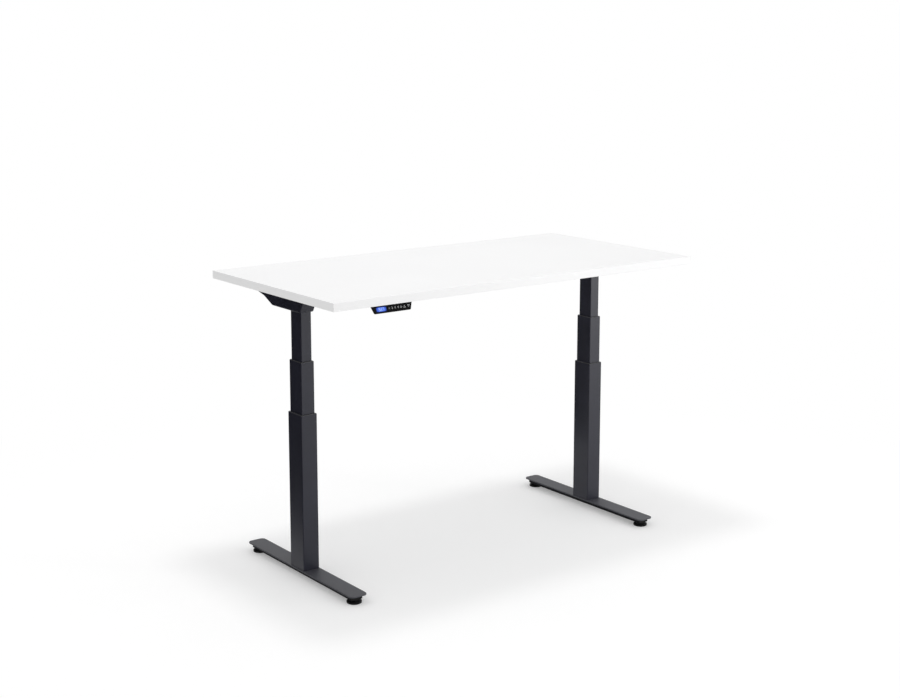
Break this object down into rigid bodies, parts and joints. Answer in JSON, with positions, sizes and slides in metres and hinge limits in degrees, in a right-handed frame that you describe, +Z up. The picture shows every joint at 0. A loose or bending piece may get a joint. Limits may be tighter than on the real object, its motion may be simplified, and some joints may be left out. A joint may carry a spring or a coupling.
{
  "type": "height adjustable standing desk",
  "caption": "Electric sit-stand desk with a white rectangular top on telescopic T-foot legs, levelling glides and a keypad under the front edge.",
  "frame": {"origin": "on the floor, under the middle of the desk's bounding box", "axes": "+X along the desktop to the user's right, +Y away from the user to the rear edge, +Z up"},
  "size_m": [1.4, 0.706, 0.927],
  "materials": {
    "frame_coat": "charcoal powder coat, fine texture, satin",
    "collar_plastic": "moulded, matt",
    "nut_plastic": "machined acetal, natural",
    "glide_plastic": "moulded, matt black",
    "box_plastic": "moulded, fine grain",
    "handset_plastic": "moulded, satin black",
    "key_plastic": "moulded, satin",
    "display_window": "clear over a lit blue display",
    "bright_steel": "ground and oiled",
    "bolt_steel": "zinc plated",
    "motor_steel": "zinc plated can",
    "gearbox_alloy": "die-cast, as cast",
    "wheel_bronze": "machined",
    "white_board": "white melamine on particle board, satin",
    "white_edging": "white edging, satin"
  },
  "bodies": {
    "base": {"left_foot_plate": "frame_coat", "left_foot_channel": "frame_coat", "left_outer_tube": "frame_coat", "right_foot_plate": "frame_coat", "right_foot_channel": "frame_coat", "right_outer_tube": "frame_coat", "foot_plugs": "glide_plastic", "outer_collars": "collar_plastic", "base_blocks": "bright_steel", "standing_screws": "bright_steel", "foot_bolts": "bolt_steel"},
    "top": {"left_inner_tube": "frame_coat", "left_spindle_nut": "nut_plastic", "left_arm": "frame_coat", "left_gearbox": "gearbox_alloy", "left_motor": "motor_steel", "right_inner_tube": "frame_coat", "right_spindle_nut": "nut_plastic", "right_arm": "frame_coat", "right_gearbox": "gearbox_alloy", "right_motor": "motor_steel", "front_rail_left": "frame_coat", "front_rail_right": "frame_coat", "rear_rail_left": "frame_coat", "rear_rail_right": "frame_coat", "rail_bolts": "bolt_steel", "column_bolts": "bolt_steel", "control_box": "box_plastic", "handset_housing": "handset_plastic", "handset_window": "display_window", "desktop": "white_board", "edge_band": "white_edging", "desk_screws": "bolt_steel"},
    "left_stage": {"left_middle_tube": "frame_coat", "left_middle_collar": "collar_plastic", "left_bearing_plug": "collar_plastic", "left_spindle_bearing": "bright_steel"},
    "left_spindle": {"left_spindle": "bright_steel"},
    "left_drive": {"left_drive_rod": "bright_steel", "left_worm_wheel": "wheel_bronze"},
    "left_worm": {"left_worm": "bright_steel"},
    "right_stage": {"right_middle_tube": "frame_coat", "right_middle_collar": "collar_plastic", "right_bearing_plug": "collar_plastic", "right_spindle_bearing": "bright_steel"},
    "right_spindle": {"right_spindle": "bright_steel"},
    "right_drive": {"right_drive_rod": "bright_steel", "right_worm_wheel": "wheel_bronze"},
    "right_worm": {"right_worm": "bright_steel"},
    "left_front_glide": {"left_front_glide": "glide_plastic"},
    "left_rear_glide": {"left_rear_glide": "glide_plastic"},
    "right_front_glide": {"right_front_glide": "glide_plastic"},
    "right_rear_glide": {"right_rear_glide": "glide_plastic"},
    "key_1": {"key_1": "key_plastic"},
    "key_2": {"key_2": "key_plastic"},
    "key_3": {"key_3": "key_plastic"},
    "key_4": {"key_4": "key_plastic"},
    "key_memory": {"key_memory": "key_plastic"},
    "key_up": {"key_up": "key_plastic"},
    "key_down": {"key_down": "key_plastic"}
  },
  "joints": [
    {"name": "desk_lift", "type": "slide", "parent": "base", "child": "top", "axis": [0, 0, 1], "range_m": [-0.297, 0.353]},
    {"name": "left_stage_slide", "type": "slide", "parent": "base", "child": "left_stage", "axis": [0, 0, 1], "range_m": [-0.1485, 0.1765]},
    {"name": "left_spindle_turn", "type": "hinge", "parent": "left_stage", "child": "left_spindle", "pos_m": [-0.583, 0.02001, 0.2225], "axis": [0, 0, 1], "continuous": true},
    {"name": "left_drive_turn", "type": "hinge", "parent": "top", "child": "left_drive", "pos_m": [-0.583, 0.02001, 0.867], "axis": [0, 0, 1], "continuous": true},
    {"name": "left_worm_turn", "type": "hinge", "parent": "top", "child": "left_worm", "pos_m": [-0.56375, 0.02001, 0.867], "axis": [0, 1, 0], "continuous": true},
    {"name": "right_stage_slide", "type": "slide", "parent": "base", "child": "right_stage", "axis": [0, 0, 1], "range_m": [-0.1485, 0.1765]},
    {"name": "right_spindle_turn", "type": "hinge", "parent": "right_stage", "child": "right_spindle", "pos_m": [0.583, 0.02001, 0.2225], "axis": [0, 0, 1], "continuous": true},
    {"name": "right_drive_turn", "type": "hinge", "parent": "top", "child": "right_drive", "pos_m": [0.583, 0.02001, 0.867], "axis": [0, 0, 1], "continuous": true},
    {"name": "right_worm_turn", "type": "hinge", "parent": "top", "child": "right_worm", "pos_m": [0.56375, 0.02001, 0.867], "axis": [0, 1, 0], "continuous": true},
    {"name": "left_front_glide_level", "type": "slide", "parent": "base", "child": "left_front_glide", "axis": [0, 0, 1], "range_m": [-0.006, 0]},
    {"name": "left_rear_glide_level", "type": "slide", "parent": "base", "child": "left_rear_glide", "axis": [0, 0, 1], "range_m": [-0.006, 0]},
    {"name": "right_front_glide_level", "type": "slide", "parent": "base", "child": "right_front_glide", "axis": [0, 0, 1], "range_m": [-0.006, 0]},
    {"name": "right_rear_glide_level", "type": "slide", "parent": "base", "child": "right_rear_glide", "axis": [0, 0, 1], "range_m": [-0.006, 0]},
    {"name": "key_1_press", "type": "slide", "parent": "top", "child": "key_1", "axis": [0, 0.9398, -0.3417], "range_m": [0, 0.0008], "stiffness_N_per_m": 1500, "springref_m": -0.0005},
    {"name": "key_2_press", "type": "slide", "parent": "top", "child": "key_2", "axis": [0, 0.9398, -0.3417], "range_m": [0, 0.0008], "stiffness_N_per_m": 1500, "springref_m": -0.0005},
    {"name": "key_3_press", "type": "slide", "parent": "top", "child": "key_3", "axis": [0, 0.9398, -0.3417], "range_m": [0, 0.0008], "stiffness_N_per_m": 1500, "springref_m": -0.0005},
    {"name": "key_4_press", "type": "slide", "parent": "top", "child": "key_4", "axis": [0, 0.9398, -0.3417], "range_m": [0, 0.0008], "stiffness_N_per_m": 1500, "springref_m": -0.0005},
    {"name": "key_memory_press", "type": "slide", "parent": "top", "child": "key_memory", "axis": [0, 0.9398, -0.3417], "range_m": [0, 0.0008], "stiffness_N_per_m": 1500, "springref_m": -0.0005},
    {"name": "key_up_press", "type": "slide", "parent": "top", "child": "key_up", "axis": [0, 0.9398, -0.3417], "range_m": [0, 0.0008], "stiffness_N_per_m": 1500, "springref_m": -0.0005},
    {"name": "key_down_press", "type": "slide", "parent": "top", "child": "key_down", "axis": [0, 0.9398, -0.3417], "range_m": [0, 0.0008], "stiffness_N_per_m": 1500, "springref_m": -0.0005}
  ],
  "couplings": [
    {"joint": "left_stage_slide", "follows": "desk_lift", "ratio": 0.5},
    {"joint": "left_spindle_turn", "follows": "desk_lift", "rad_per_m": -314.16},
    {"joint": "left_drive_turn", "follows": "desk_lift", "rad_per_m": -314.16},
    {"joint": "left_worm_turn", "follows": "desk_lift", "rad_per_m": 6911.5},
    {"joint": "right_stage_slide", "follows": "desk_lift", "ratio": 0.5},
    {"joint": "right_spindle_turn", "follows": "desk_lift", "rad_per_m": -314.16},
    {"joint": "right_drive_turn", "follows": "desk_lift", "rad_per_m": -314.16},
    {"joint": "right_worm_turn", "follows": "desk_lift", "rad_per_m": -6911.5}
  ]
}
